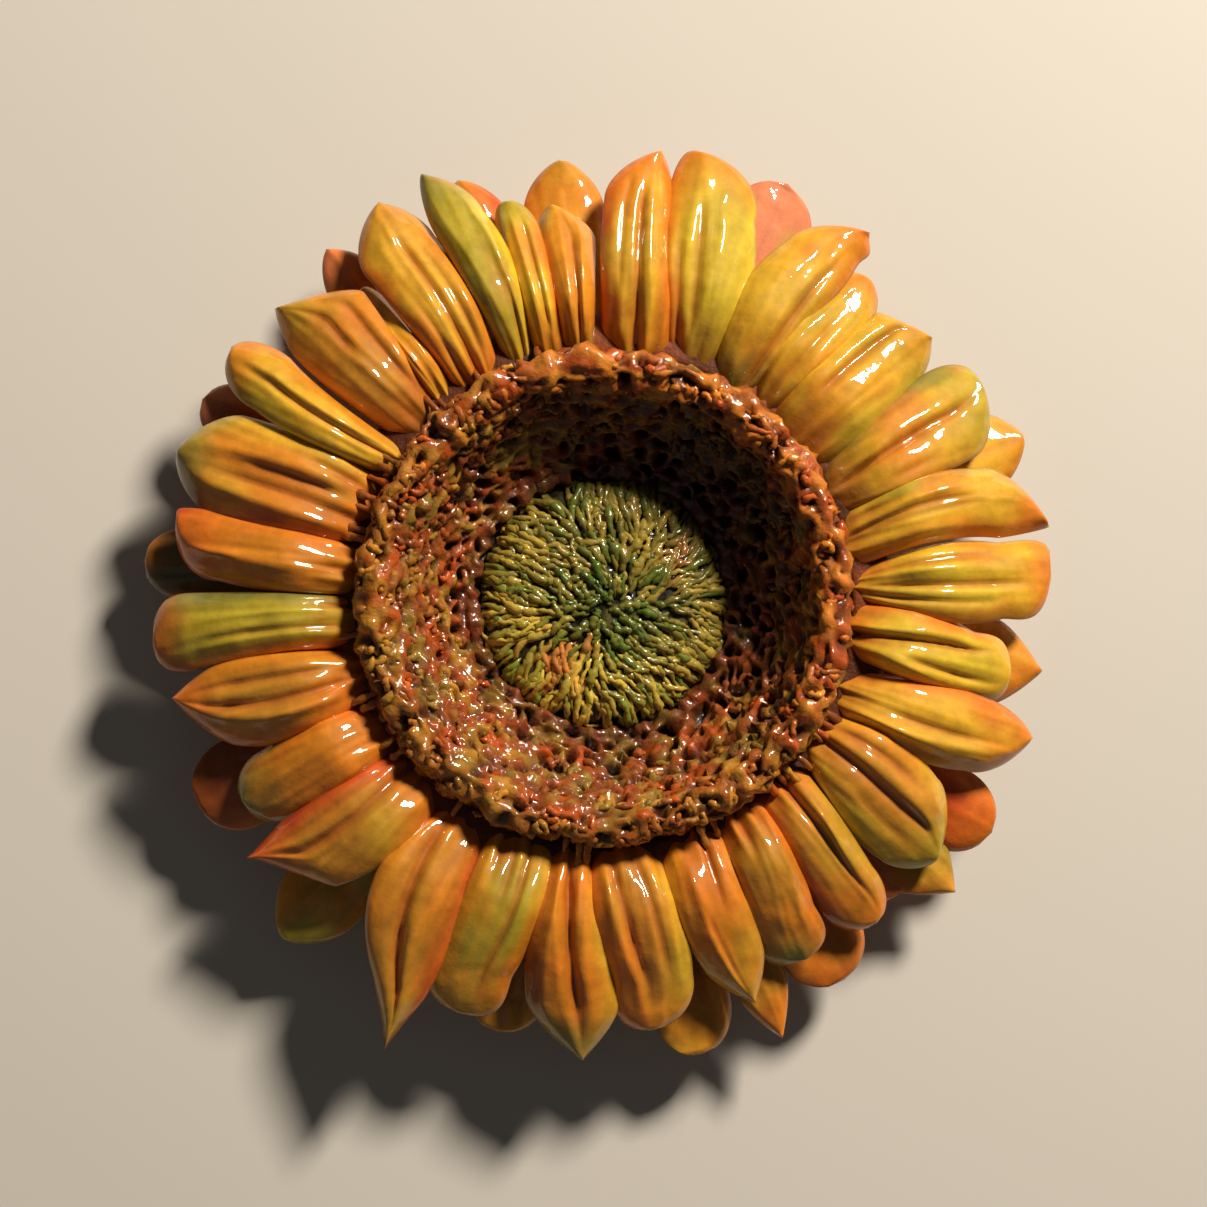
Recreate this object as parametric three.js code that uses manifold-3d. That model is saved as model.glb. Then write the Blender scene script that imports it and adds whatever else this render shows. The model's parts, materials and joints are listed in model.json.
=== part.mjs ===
// A sculpted sunflower head in painted, glazed clay, lying on its back with its face up.
// Millimetres, +Z up. The origin is the middle of the small flat spot that it rests on.
import * as THREE from "three";
import { mergeVertices } from "three/addons/utils/BufferGeometryUtils.js";
import Module from "manifold-3d";

// Clay layers, from the table up. Each stands a hair clear of the one below.
const layerGap = 0.3;
const restRadius = 19;
// The receptacle is a thick dish. The head sits in its well, and the petals' layers lie on its rim.
const dish = { radius: 36, top: 10.4, wellRadius: 31.5, wellFloor: 5.4 };
const backLayer = { inner: 31.8, outer: 37, bottom: dish.top + layerGap, top: 13, bevel: 0.8 };
const frontLayer = { inner: 31.8, outer: 38, bottom: backLayer.top + layerGap, top: 15.8, bevel: 4 };
const headBottom = dish.wellFloor + layerGap;

// The ring of florets: a wall outside, a lip on top and a deep bowl inside.
const ring = {
  footRadius: 31,
  footHeight: frontLayer.top + layerGap,
  footSwell: { at: 220, spread: 28, out: 2.2 },
  lipRadius: 31.4,
  lipTop: 21.1,
  lean: { toward: 163, by: 0.9 },
  bowlRadius: 16.3,
  bowlFoot: 7,
  around: 126,
  rows: 18,
  floretsAround: 42,
  relief: 1.0,
};

// The green cushion in the middle, covered by strands that turn about a point a little off centre.
const disc = {
  radius: 15.6, edge: 7.4, top: 10.6, around: 66, rows: 9, strands: 22, twist: 1.1, relief: 0.55,
};

// Front petals stand on a rounded root, rise to a crest and bend back to the tip.
const frontForm = {
  crest: 19.2, crestAt: 0.38, rootDrop: 4.4, rise: 1.8, tipDrop: 5.8, thick: [4.3, 1.9], droop: 0.7,
  seat: frontLayer.bottom + 0.3,
  rows: [0, 0.05, 0.16, 0.4, 0.65, 0.84, 0.95, 1],
};
// Back petals are flatter. Their roots reach well into the back layer.
const backForm = {
  crest: 12.8, crestAt: 0.2, rootDrop: 0.9, rise: 2.6, tipDrop: 3.5, thick: [2.1, 1.7], droop: 0.4,
  seat: backLayer.bottom + 0.1,
  rows: [0, 0.3, 0.55, 0.75, 0.9, 1],
};
const backRoot = 32.2;
const furrowWidth = 0.34;
// A petal's sides lie a little past the edges of its lit face, under its neighbours.
const spread = 1.13;
const stations = [0.1, 0.5, 0.75];
// How the outline closes past the last station: powers of a rounded, oval, pointed, sharp or blunt end.
const ends = { round: [2, 0.5], oval: [1.6, 0.75], point: [1.3, 1], sharp: [1, 1.3], blunt: [4, 0.5] };

// Each front petal: root radius, tip as angle and radius, its two sides as angles at the three stations,
// how it ends and how far it stands above the others. Angles in degrees, counter-clockwise from +X.
// A furrow is: place across at the root and at the tip (-1 to 1), where it starts and stops, depth.
const frontPetals = [
  { root: 33, tip: [83, 60], sides: [[90.5, 77], [90.8, 80.3], [90, 81.2]],
    end: "oval", lift: 0.4, furrows: [[-0.05, 0.15, 0, 0.85, 1], [-0.6, -0.3, 0.3, 0.9, 0.4]] },
  { root: 33.6, tip: [79, 61], sides: [[76.5, 65.5], [80.5, 66.5], [80.7, 69.5]],
    end: "round", lift: 0.1, furrows: [[-0.65, -0.6, 0, 0.65, 0.7], [-0.28, -0.2, 0.15, 0.85, 0.6]] },
  { root: 33.4, tip: [54.5, 60], sides: [[65, 55], [66, 54], [63, 53.6]],
    end: "oval", lift: 0.5,
    furrows: [[0.5, 0.4, 0, 0.85, 0.8], [0.8, 0.75, 0.3, 0.7, 0.4]], lobe: [1, 0.93, 0.9] },
  { root: 33.4, tip: [51, 55.4], sides: [[56, 47.5], [57, 47], [55.5, 46.8]],
    end: "round", lift: 0, furrows: [[0.2, 0.1, 0.2, 0.75, 0.4]] },
  { root: 32.7, tip: [39, 55.5], sides: [[48, 32], [48, 33.8], [46.8, 35.6]],
    end: "oval", lift: 0.5,
    furrows: [[-0.1, -0.1, 0, 0.25, 0.4], [-0.45, -0.4, 0.3, 0.97, 0.9]], lobe: [-1, 0.88, 1.4] },
  { root: 33.1, tip: [31.5, 57.8], sides: [[32, 20.3], [35, 21.3], [34.8, 22]],
    end: "round", lift: 0.2, furrows: [[0.05, -0.05, 0.08, 0.97, 1.1], [0.65, 0.6, 0.3, 0.7, 0.35]] },
  { root: 33.1, tip: [9.6, 59.6], sides: [[20, 8.5], [20.7, 10.7], [18.8, 9.7]],
    end: "oval", lift: 0.7, furrows: [[-0.1, -0.2, 0, 0.7, 0.7], [-0.55, -0.55, 0.1, 0.5, 0.35]] },
  { root: 33, tip: [6.6, 59.3], sides: [[6.5, -0.5], [8.9, -3.2], [7.9, -2]],
    end: "blunt", lift: 0.1,
    furrows: [[-0.55, -0.6, 0.05, 0.85, 0.7], [0.05, 0.1, 0.1, 0.9, 0.7], [0.5, 0.5, 0.1, 0.8, 0.5]] },
  { root: 32.6, tip: [-10.7, 54.4], sides: [[-1.2, -12.5], [-3.2, -14.6], [-5.5, -14.4]],
    end: "blunt", lift: 0.4, furrows: [[0.25, -0.6, 0, 0.88, 1.2], [0.5, 0.45, 0.35, 0.95, 0.7]] },
  { root: 32.4, tip: [-17.7, 59.2], sides: [[-16.7, -26.5], [-15, -27], [-15.1, -24.8]],
    end: "oval", lift: 0, furrows: [[0.1, 0.15, 0.3, 0.88, 0.6]] },
  { root: 32.4, tip: [-38.3, 55.3], sides: [[-27.5, -38.8], [-27.4, -43], [-29.3, -42.7]],
    end: "oval", lift: 0.4,
    furrows: [[-0.5, -0.6, 0.15, 0.75, 0.8], [0.05, -0.1, 0, 0.95, 0.9], [0.5, 0.35, 0.4, 0.9, 0.4]] },
  { root: 32, tip: [-50, 55.2], sides: [[-41, -52.9], [-44.3, -54.7], [-45.8, -55]],
    end: "round", lift: 0, furrows: [[0, -0.45, 0, 0.96, 0.8]] },
  { root: 32, tip: [-61, 53.7], sides: [[-53.5, -64], [-55, -65.3], [-56.7, -66]],
    end: "blunt", lift: 0.4, furrows: [[0.2, 0.1, 0, 0.35, 0.45]] },
  { root: 32, tip: [-69.7, 56.2], sides: [[-64.5, -77.5], [-65.8, -77.1], [-66.5, -75]],
    end: "point", lift: 0.1, furrows: [[-0.3, -0.2, 0, 0.5, 1], [0.3, 0.1, 0.45, 0.92, 0.5]] },
  { root: 32, tip: [-84.3, 56.5], sides: [[-79.7, -93.1], [-77.7, -91.7], [-78, -89.3]],
    end: "round", lift: 0.4, furrows: [[-0.25, -0.5, 0.15, 0.85, 0.6], [0.45, 0, 0.15, 0.88, 0.7]] },
  { root: 32.2, tip: [-93, 60.2], sides: [[-93.5, -102.7], [-90.5, -102.7], [-89.1, -100.9]],
    end: "point", lift: 0, furrows: [[0.1, -0.15, 0.12, 0.93, 1.1]] },
  { root: 32.7, tip: [-110, 57.2], sides: [[-102.7, -116.2], [-103.2, -115.5], [-104.9, -115]],
    end: "blunt", lift: 0.4,
    furrows: [[-0.3, -0.2, 0, 0.92, 0.7], [0.1, 0.15, 0, 0.5, 0.6], [0.5, 0.5, 0, 0.4, 0.5]] },
  { root: 33.8, tip: [-116.2, 65.5], sides: [[-117, -128.9], [-115.1, -128.3], [-115, -121.7]],
    end: "sharp", lift: 0, furrows: [[0.45, -0.1, 0.12, 0.92, 1.1], [-0.7, -0.75, 0.3, 0.85, 0.4]] },
  { root: 33.6, tip: [-144.2, 57.8], sides: [[-129.5, -143.7], [-131, -144.5], [-134, -144.8]],
    end: "sharp", lift: 0.4, furrows: [[0.4, 0, 0, 0.9, 0.8], [0.75, 0.5, 0.1, 0.9, 0.5]] },
  { root: 33.4, tip: [-150.7, 54.4], sides: [[-145, -155.3], [-145.1, -156.5], [-145.5, -155.5]],
    end: "round", lift: 0, furrows: [[-0.35, -0.2, 0, 0.35, 0.35], [0.3, 0.2, 0, 0.3, 0.3]] },
  { root: 33.1, tip: [-166.9, 58.1], sides: [[-157.7, -167.9], [-156.3, -169.5], [-158.7, -169.3]],
    end: "point", lift: 0.4, furrows: [[-0.1, 0, 0.1, 0.95, 0.8], [0.4, 0.5, 0.2, 0.9, 0.6]] },
  { root: 32, tip: [-174, 59.5], sides: [[-169.5, -179.7], [-170.7, -180], [-170.5, -180]],
    end: "blunt", lift: 0, furrows: [[-0.2, -0.3, 0.1, 0.8, 0.4], [0.55, 0.6, 0, 0.3, 0.7]] },
  { root: 32, tip: [168.7, 57.3], sides: [[178.9, 169.2], [178.5, 168.5], [177.1, 168.2]],
    end: "round", lift: 0.4, furrows: [[-0.1, 0, 0.1, 0.45, 0.3]] },
  { root: 32, tip: [161.3, 59.5], sides: [[168.3, 153.3], [168.2, 153.3], [167.5, 154.2]],
    end: "oval", lift: 0,
    furrows: [[-0.3, -0.15, 0, 0.88, 0.6], [0.15, 0.1, 0.2, 0.8, 0.7], [0.55, 0.6, 0.1, 0.5, 0.6]] },
  { root: 32.3, tip: [146.3, 59.1], sides: [[151.3, 144.5], [152.7, 144.7], [151.7, 143.5]],
    end: "round", lift: 0.4, furrows: [[0.1, -0.1, 0, 0.92, 0.5]] },
  { root: 32.8, tip: [139, 57.8], sides: [[142.3, 131.7], [142.7, 130.3], [141.8, 129.5]],
    end: "point", lift: 0.2, furrows: [[-0.1, 0, 0.5, 0.95, 0.7], [0.6, 0.5, 0.2, 0.88, 0.6]] },
  { root: 33.1, tip: [128.4, 52.2], sides: [[132, 127], [131.5, 126.3], [130.8, 126.4]],
    end: "round", lift: -0.7, furrows: [] },
  { root: 32.6, tip: [120, 60.2], sides: [[125.8, 115.7], [126.3, 115], [126.5, 116.2]],
    end: "oval", lift: 0.4,
    furrows: [[-0.5, -0.4, 0.05, 0.7, 0.4], [0.1, 0.1, 0, 0.88, 0.8], [0.5, 0.45, 0, 0.8, 0.6]] },
  { root: 32.8, tip: [113.7, 61.1], sides: [[113, 107.3], [114.5, 106.3], [115.1, 108.3]],
    end: "oval", lift: 0.1, furrows: [[0.35, 0.4, 0, 0.5, 0.45]] },
  { root: 32.5, tip: [104.7, 54.4], sides: [[106.3, 99.8], [106.6, 100.3], [106.5, 100.7]],
    end: "round", lift: -0.2, furrows: [[0.1, 0.3, 0.2, 0.92, 0.5]] },
  { root: 32.7, tip: [98.3, 52.8], sides: [[99.9, 93.5], [100.3, 92.9], [100.9, 92.5]],
    end: "oval", lift: 0, furrows: [[0.05, 0.2, 0, 0.92, 0.6]] },
];

// Each back petal: the angle it points at, the radius it reaches, its breadth and how it ends.
const backPetals = [
  { at: 95.9, reach: 59.5, breadth: 9.5, end: "oval" },
  { at: 109.2, reach: 59.4, breadth: 9, end: "oval" },
  { at: 128.4, reach: 59.4, breadth: 7, end: "oval" },
  { at: 153.6, reach: 59.2, breadth: 8, end: "round" },
  { at: 175.2, reach: 60.8, breadth: 8.6, end: "round" },
  { at: 206.8, reach: 59.8, breadth: 10.6, end: "round" },
  { at: 226.4, reach: 61.2, breadth: 10, end: "oval" },
  { at: 256, reach: 58.2, breadth: 9.6, end: "round" },
  { at: 282.2, reach: 61, breadth: 9.4, end: "round" },
  { at: 292.2, reach: 62, breadth: 6.4, end: "point" },
  { at: 302.6, reach: 59.2, breadth: 10.6, end: "round" },
  { at: 315.2, reach: 54.8, breadth: 7, end: "round" },
  { at: 320.6, reach: 60.4, breadth: 9.4, end: "point" },
  { at: 329.4, reach: 59.8, breadth: 9.6, end: "round" },
  { at: 351.4, reach: 59.4, breadth: 10.4, end: "point" },
  { at: 22, reach: 60.8, breadth: 10.4, end: "oval" },
  { at: 66.4, reach: 61.2, breadth: 10.4, end: "round" },
];

const rad = THREE.MathUtils.degToRad;
const wasm = await Module();
wasm.setup();

// A seeded draw, so that the torn clay comes out the same each time.
function seededDraw(seed) {
  let state = seed;
  return () => {
    state = (state * 1664525 + 1013904223) % 4294967296;
    return state / 4294967296;
  };
}

function geometryOf(points, faces) {
  const geometry = new THREE.BufferGeometry();
  geometry.setAttribute("position", new THREE.Float32BufferAttribute(points.flat(), 3));
  geometry.setIndex(faces.flat());
  return geometry;
}

function solidOf(geometry) {
  const bare = geometry.clone();
  bare.deleteAttribute("normal");
  bare.deleteAttribute("uv");
  const merged = mergeVertices(bare, 1e-4);
  return new wasm.Manifold(new wasm.Mesh({
    numProp: 3,
    vertProperties: new Float32Array(merged.attributes.position.array),
    triVerts: new Uint32Array(merged.index.array),
  }));
}

function meshOf(name, solid, color, roughness) {
  const { vertProperties, triVerts } = solid.getMesh();
  const geometry = new THREE.BufferGeometry();
  geometry.setAttribute("position", new THREE.BufferAttribute(new Float32Array(vertProperties), 3));
  geometry.setIndex(new THREE.BufferAttribute(new Uint32Array(triVerts), 1));
  geometry.computeVertexNormals();
  const mesh = new THREE.Mesh(geometry, new THREE.MeshStandardMaterial({ color, roughness, metalness: 0 }));
  mesh.name = name;
  return mesh;
}

function turned(outline, segments) {
  const lathe = new THREE.LatheGeometry(outline.map(([r, z]) => new THREE.Vector2(r, z)), segments);
  return lathe.rotateX(Math.PI / 2);
}

// One side of a petal's outline: a curve through its stations, then a closing stretch to the tip.
function sideAngle(petal, side, t) {
  const [a, b, c] = petal.sides.map((pair) => pair[side]);
  const [p, q, last] = stations;
  if (t < last) {
    const u = Math.max(t, 0.03);
    return (a * (u - q) * (u - last)) / ((p - q) * (p - last))
      + (b * (u - p) * (u - last)) / ((q - p) * (q - last))
      + (c * (u - p) * (u - q)) / ((last - p) * (last - q));
  }
  const [power, root] = ends[petal.end];
  return petal.tip[0] + (c - petal.tip[0]) * (1 - ((t - last) / (1 - last)) ** power) ** root;
}

// A point of a petal: across is -1 to 1 from its left side to its right, t is 0 at the root, 1 at the tip.
function petalPoint(petal, form, across, t) {
  const radius = petal.root + t * (petal.tip[1] - petal.root);
  const rounding = t < 0.12 ? 0.62 + 0.38 * Math.sqrt(1 - (1 - t / 0.12) ** 2) : 1;
  const left = sideAngle(petal, 0, t);
  const right = sideAngle(petal, 1, t);
  let angle = (left + right) / 2 + (across * rounding * spread * (right - left)) / 2;
  if (petal.lobe) {
    const [side, at, out] = petal.lobe;
    const share = Math.max(0, across * side) * Math.exp(-(((t - at) / 0.05) ** 2));
    angle -= (side * share * out * 180) / (Math.PI * radius);
  }
  const closing = Math.sqrt(Math.max(0, 1 - Math.max(0, (t - 0.85) / 0.15) ** 2));
  const swelling = Math.sqrt(Math.max(0, 1 - Math.max(0, 1 - t / 0.14) ** 2));
  const thick = THREE.MathUtils.lerp(form.thick[0], form.thick[1], t) * closing * swelling;
  const fall = t < form.crestAt
    ? form.rootDrop * (1 - t / form.crestAt) ** form.rise
    : form.tipDrop * ((t - form.crestAt) / (1 - form.crestAt)) ** 1.5;
  const dome = Math.sqrt(Math.max(0, 1 - Math.abs(across) ** 2.6));
  // The root doesn't reach past its clay layer.
  const seat = t < 0.2 ? form.seat : 0;
  const height = form.crest + (petal.lift ?? 0) - fall - 0.55 * thick - form.droop * across ** 2;
  const middle = Math.max(height, seat + 0.3);
  let top = middle + 0.55 * thick * dome;
  for (const [atRoot, atTip, from, to, depth] of petal.furrows ?? []) {
    const away = Math.abs(across - THREE.MathUtils.lerp(atRoot, atTip, t)) / furrowWidth;
    const along = THREE.MathUtils.smoothstep(t, from - 0.04, from + 0.12)
      * (1 - THREE.MathUtils.smoothstep(t, to - 0.15, to + 0.03));
    const deep = Math.min(depth, 0.5 * thick) * along;
    top -= deep * Math.max(0, 1 - away) ** 2 * dome;
  }
  const place = (z) => [radius * Math.cos(rad(angle)), radius * Math.sin(rad(angle)), z];
  return { top: place(top), bottom: place(Math.max(middle - 0.45 * thick * dome, seat)) };
}

// The columns across a petal follow its deeper furrows, so that few faces still show them.
function columnsAt(petal, t) {
  const deep = (petal.furrows ?? []).filter((furrow) => furrow[4] >= 0.5);
  const lines = deep.map(([atRoot, atTip]) => THREE.MathUtils.lerp(atRoot, atTip, t));
  const marks = [-1, ...lines, 1];
  const columns = [-1];
  marks.slice(1).forEach((mark, i) => {
    const wide = mark - marks[i];
    const outer = i === 0 || i === marks.length - 2;
    if (marks.length === 2) columns.push(-0.75, 0, 0.75);
    else if (!outer || marks.length > 3) columns.push(mark - 0.5 * wide);
    else if (i === 0) columns.push(mark - 0.8 * wide, mark - 0.4 * wide);
    else columns.push(mark - 0.6 * wide, mark - 0.2 * wide);
    columns.push(mark);
  });
  return columns;
}

// A closed petal: the same grid on its top and underside, sharing the rim, the root edge and the tip.
function petalSolid(petal, form) {
  const points = [];
  const faces = [];
  const add = (point) => points.push(point) - 1;
  const grid = form.rows.slice(0, -1).map((t) => {
    const columns = columnsAt(petal, t);
    const top = [];
    const under = [];
    columns.forEach((across, i) => {
      const { top: high, bottom: low } = petalPoint(petal, form, across, t);
      const onRim = i === 0 || i === columns.length - 1 || t === 0;
      top.push(add(high));
      under.push(onRim ? top[i] : add(low));
    });
    return { top, under };
  });
  const tip = add(petalPoint(petal, form, 0, 1).top);
  const face = (a, b, c) => {
    if (a !== b && b !== c && c !== a) faces.push([a, b, c]);
  };
  grid.forEach((row, j) => {
    const next = grid[j + 1];
    for (let i = 0; i < row.top.length - 1; i += 1) {
      if (!next) {
        face(row.top[i], row.top[i + 1], tip);
        face(row.under[i + 1], row.under[i], tip);
        continue;
      }
      face(row.top[i], row.top[i + 1], next.top[i + 1]);
      face(row.top[i], next.top[i + 1], next.top[i]);
      face(row.under[i], next.under[i + 1], row.under[i + 1]);
      face(row.under[i], next.under[i], next.under[i + 1]);
    }
  });
  return solidOf(geometryOf(points, faces));
}

// A flat hoop of clay that the roots are sunk in.
function layerSolid({ inner, outer, bottom, top, bevel }) {
  const edge = [[outer - 0.8, bottom], [outer, bottom + 0.6], [outer - bevel, top]];
  return solidOf(turned([[inner, bottom], ...edge, [inner, top], [inner, bottom]], 48));
}

function makeReceptacle() {
  const { radius, top, wellRadius, wellFloor } = dish;
  const under = [[0, 0], [restRadius, 0], [25, 1.3], [30.4, 4.1], [34.2, 7.2]];
  const rim = [[radius, top - 0.9], [radius - 0.6, top], [wellRadius + 0.4, top]];
  const well = [[wellRadius, top - 0.4], [wellRadius, wellFloor + 0.5], [wellRadius - 0.5, wellFloor]];
  const outline = [...under, ...rim, ...well, [0, wellFloor]];
  return meshOf("receptacle", solidOf(turned(outline, 60)), 0x9a8a3c, 0.5);
}

// The same sides as a front petal has, worked out from a back petal's breadth.
function backPetalShape({ at, reach, breadth, end }, index) {
  const shares = [0.74, 0.96, 1];
  const sides = stations.map((t, i) => {
    const radius = backRoot + t * (reach - backRoot);
    const half = THREE.MathUtils.radToDeg((0.5 * breadth * shares[i]) / radius);
    return [at + half, at - half];
  });
  return { root: backRoot, tip: [at, reach], sides, end, lift: index % 2 ? 0 : -0.5 };
}

function makePetals(name, layer, petals, form, color) {
  let solid = layerSolid(layer);
  for (const petal of petals) solid = solid.add(petalSolid(petal, form));
  // Only the outer skin is kept, so a hollow sealed between petals is filled.
  const [body] = solid.decompose().sort((a, b) => b.volume() - a.volume());
  return meshOf(name, body, color, 0.3);
}

// A closed turned form from a grid of points: round it i, along its outline j.
function gridSolid(around, rows, pointAt, closedOutline) {
  const points = [];
  const faces = [];
  for (let i = 0; i < around; i += 1) {
    for (let j = 0; j < rows; j += 1) points.push(pointAt(i, j));
  }
  const id = (i, j) => (i % around) * rows + (j % rows);
  for (let i = 0; i < around; i += 1) {
    for (let j = 0; j < rows - (closedOutline ? 0 : 1); j += 1) {
      faces.push([id(i, j), id(i + 1, j), id(i + 1, j + 1)], [id(i, j), id(i + 1, j + 1), id(i, j + 1)]);
    }
  }
  if (!closedOutline) {
    const low = points.push([0, 0, headBottom]) - 1;
    const high = points.push(pointAt(0, rows)) - 1;
    for (let i = 0; i < around; i += 1) {
      faces.push([id(i, 0), low, id(i + 1, 0)], [id(i, rows - 1), id(i + 1, rows - 1), high]);
    }
  }
  return solidOf(geometryOf(points, faces));
}

// The outline of the ring runs from its outer foot over the lip and down the bowl to its inner foot.
function ringOutline(degrees) {
  const swell = ((degrees - ring.footSwell.at + 540) % 360) - 180;
  const foot = ring.footRadius;
  const flare = foot + ring.footSwell.out * Math.exp(-((swell / ring.footSwell.spread) ** 2));
  const wave = 0.35 * Math.sin(rad(9 * degrees)) + 0.25 * Math.sin(rad(23 * degrees));
  const lip = ring.lipRadius + wave;
  const bowl = ring.bowlRadius;
  return new THREE.CatmullRomCurve3([
    [foot - 0.3, headBottom], [foot, 9], [foot, ring.footHeight - 1], [foot, ring.footHeight - 0.1],
    [flare, ring.footHeight + 0.5], [(flare + lip) / 2, ring.footHeight + 2.2], [lip, ring.lipTop - 1.2],
    [lip - 1.8, ring.lipTop], [lip - 4, ring.lipTop - 1.3], [lip - 5.8, ring.lipTop - 4.6],
    [lip - 7.6, ring.lipTop - 9], [bowl + 4.8, ring.bowlFoot + 1.8], [bowl + 1.2, ring.bowlFoot],
    [bowl, headBottom],
  ].map(([r, z]) => new THREE.Vector3(r, 0, z)), false, "centripetal");
}

function makeRing() {
  const draw = seededDraw(7);
  const turn = rad(ring.lean.toward);
  const solid = gridSolid(ring.around, ring.rows, (i, j) => {
    const degrees = (360 * i) / ring.around;
    const along = j / (ring.rows - 1);
    const { x: r, z } = ringOutline(degrees).getPoint(along);
    const climb = THREE.MathUtils.clamp((z - ring.footHeight) / (ring.lipTop - ring.footHeight), 0, 1);
    // Torn florets: peaks and pits take turns round the ring and from row to row.
    const beat = Math.cos(rad(ring.floretsAround * degrees) + j * 2.1) + 0.9 * (draw() - 0.5);
    const onWall = along < 0.45;
    const rough = ring.relief * beat * (onWall ? climb : Math.min(1, 6 * (1 - along)));
    const leaning = ring.lean.by * climb;
    const out = r + 0.35 * rough * (onWall ? 1 : -1);
    return [
      out * Math.cos(rad(degrees)) + leaning * Math.cos(turn),
      out * Math.sin(rad(degrees)) + leaning * Math.sin(turn),
      Math.max(headBottom, z + 0.8 * rough),
    ];
  }, true);
  return meshOf("floret_ring", solid, 0x8f4a1c, 0.3);
}

function makeDisc() {
  const draw = seededDraw(11);
  const solid = gridSolid(disc.around, disc.rows, (i, j) => {
    const degrees = (360 * i) / disc.around;
    const inward = j / disc.rows;
    const r = disc.radius * Math.cos((inward * Math.PI) / 2) ** 0.8;
    if (j === 0) return [r * Math.cos(rad(degrees)), r * Math.sin(rad(degrees)), headBottom];
    const share = r / disc.radius;
    const phase = rad(disc.strands * degrees) + disc.twist * 2 * Math.PI * share;
    const beat = Math.cos(phase) + 0.8 * (draw() - 0.5);
    const rough = disc.relief * beat * Math.min(1, 2.5 * share);
    const z = disc.edge + (disc.top - disc.edge) * (1 - share ** 2.4) + rough;
    return [r * Math.cos(rad(degrees)), r * Math.sin(rad(degrees)), j === disc.rows ? disc.top - 0.5 : z];
  }, false);
  return meshOf("disc_centre", solid, 0x6f7a22, 0.35);
}

const sunflower = new THREE.Group();
sunflower.add(
  makeReceptacle(),
  makePetals("ray_petals_back", backLayer, backPetals.map(backPetalShape), backForm, 0xb8702a),
  makePetals("ray_petals_front", frontLayer, frontPetals, frontForm, 0xdda32c),
  makeRing(),
  makeDisc(),
);

export default sunflower;
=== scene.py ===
# A sculpted sunflower head in painted, glazed clay. It lies on its back, and the camera looks down on it.
import bpy
import json
import math
import numpy as np
from mathutils import Matrix, Vector

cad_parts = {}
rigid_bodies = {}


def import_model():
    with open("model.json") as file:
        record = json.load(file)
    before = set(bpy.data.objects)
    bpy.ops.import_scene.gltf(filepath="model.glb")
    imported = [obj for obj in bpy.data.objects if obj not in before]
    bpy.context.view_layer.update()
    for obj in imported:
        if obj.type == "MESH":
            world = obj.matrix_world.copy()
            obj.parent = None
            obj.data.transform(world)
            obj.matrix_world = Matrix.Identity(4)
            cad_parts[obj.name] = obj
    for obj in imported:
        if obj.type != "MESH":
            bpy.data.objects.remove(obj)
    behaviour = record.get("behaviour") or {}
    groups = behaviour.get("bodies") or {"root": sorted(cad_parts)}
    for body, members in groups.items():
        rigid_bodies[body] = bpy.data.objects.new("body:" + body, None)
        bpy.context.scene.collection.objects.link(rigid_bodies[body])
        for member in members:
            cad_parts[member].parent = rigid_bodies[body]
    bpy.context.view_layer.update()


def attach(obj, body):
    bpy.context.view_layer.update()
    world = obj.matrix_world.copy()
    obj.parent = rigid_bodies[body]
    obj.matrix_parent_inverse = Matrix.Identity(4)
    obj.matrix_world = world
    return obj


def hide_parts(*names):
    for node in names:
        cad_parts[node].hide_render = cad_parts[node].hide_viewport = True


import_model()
mm = 0.001
print("frame loaded")


# Small helpers

def linear(hexColour):
    parts = [int(hexColour[i:i + 2], 16) / 255 for i in (1, 3, 5)]
    return tuple(p / 12.92 if p <= 0.04045 else ((p + 0.055) / 1.055) ** 2.4 for p in parts)


def addNode(tree, kind, settings=None, links=None):
    node = tree.nodes.new(kind)
    for key, value in (settings or {}).items():
        if key in node.inputs:
            node.inputs[key].default_value = value
        else:
            setattr(node, key, value)
    for key, source in (links or {}).items():
        tree.links.new(source, node.inputs[key])
    return node


def newMaterial(name):
    material = bpy.data.materials.new(name)
    material.use_nodes = True
    material.node_tree.nodes.clear()
    return material, material.node_tree


def deselectAll():
    for obj in bpy.context.view_layer.objects:
        obj.select_set(False)


def smoothstep(low, high, x):
    u = np.clip((x - low) / (high - low), 0, 1)
    return u * u * (3 - 2 * u)


def mix(a, b, share):
    return a + (b - a) * share[..., None]


def linearTones(colours):
    return {name: np.array(linear(value)) for name, value in colours.items()}


def evenColour(tone, count):
    return np.repeat(tone[None], count, axis=0)


def flatPoints(x, y):
    # Points in the plane z = 0, for noise that runs in two directions.
    return np.stack([x, y, 0 * x], axis=-1)


def turned(r, turn, z):
    # Points at radius r and height z, turned about the flower's axis.
    return np.stack([r * np.cos(turn), r * np.sin(turn), z], axis=-1)


def bend(degrees, at, spread):
    # 1 at the given direction, falling off to 0 away from it.
    return np.exp(-(((degrees - at + 540) % 360 - 180) / spread) ** 2)


def cellDraw(cell, seed):
    # A fixed random number from 0 to 1 for each cell of a grid.
    mixed = cell[:, 0] * 73856093 ^ cell[:, 1] * 19349663 ^ cell[:, 2] * 83492791 ^ seed * 40503
    mixed = ((mixed ^ (mixed >> 13)) * 1274126177) & 0x7fffffff
    return ((mixed ^ (mixed >> 15)) & 0xffff) / 65535


def softNoise(points, size, seed):
    # Smooth noise of about -1 to 1, with lumps of the given size in mm.
    place = points / size + 0.37 * seed
    base = np.floor(place).astype(np.int64)
    ease = smoothstep(0, 1, place - base)
    total = np.zeros(len(points))
    for corner in np.ndindex(2, 2, 2):
        weight = np.prod(np.where(np.array(corner) == 1, ease, 1 - ease), axis=1)
        total += weight * cellDraw(base + np.array(corner), seed)
    return 2.2 * total - 1.1


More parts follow.
